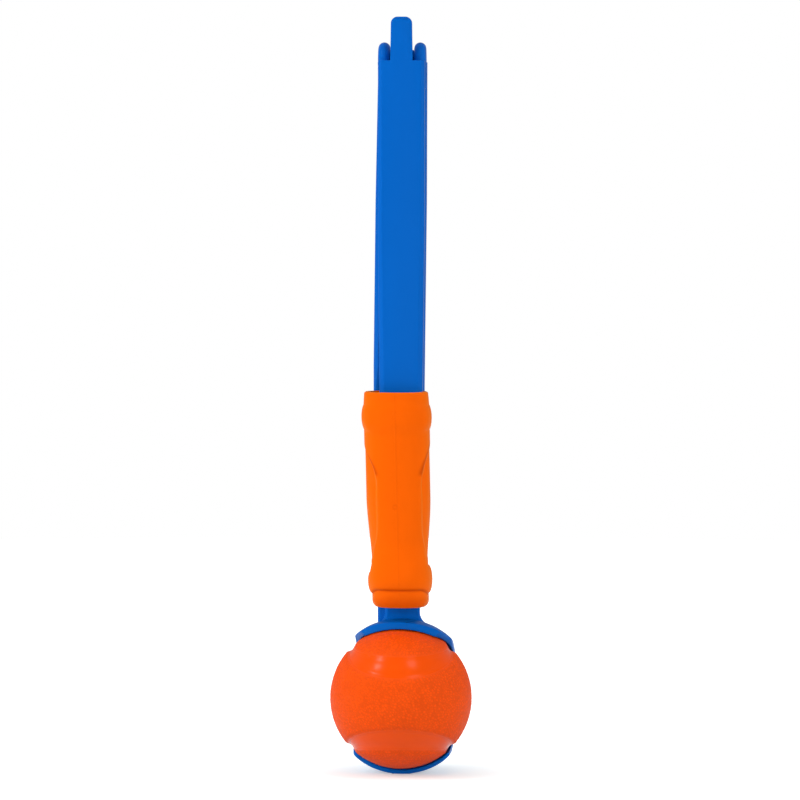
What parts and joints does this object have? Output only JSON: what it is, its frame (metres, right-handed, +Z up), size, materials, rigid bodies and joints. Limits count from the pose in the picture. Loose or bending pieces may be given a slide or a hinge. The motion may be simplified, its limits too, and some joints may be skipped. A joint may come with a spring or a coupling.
{
  "type": "dog ball launcher",
  "caption": "Folding ball launcher for dogs: a cup arm that grips a textured rubber ball, hinged to a handle arm with a soft grip.",
  "frame": {"origin": "centre of the ball seat in the cup", "axes": "+Z up along the folded arms to the hinge, -Y out of the cup's open side and towards the handle arm, +X along the hinge pin to the right as seen from the open side"},
  "size_m": [0.064, 0.0686, 0.3405],
  "materials": {
    "arm_plastic": "moulded satin polypropylene",
    "grip_elastomer": "soft overmoulded elastomer, fine matt",
    "pin_steel": "plain bright steel",
    "ball_rubber": "pebbled rubber with smooth channels"
  },
  "bodies": {
    "cup_arm": {"cup_arm": "arm_plastic"},
    "handle": {"handle_arm": "arm_plastic", "grip_sleeve": "grip_elastomer", "pivot_pin": "pin_steel"},
    "ball": {"ball": "ball_rubber"}
  },
  "joints": [
    {"name": "fold_hinge", "type": "hinge", "parent": "cup_arm", "child": "handle", "pos_m": [0, 0.003, 0.2865], "axis": [-1, 0, 0], "range_deg": [0, 180]},
    {"name": "ball_slide", "type": "slide", "parent": "cup_arm", "child": "ball", "axis": [0, -0.9945, -0.1045], "range_m": [0, 0.06]}
  ]
}
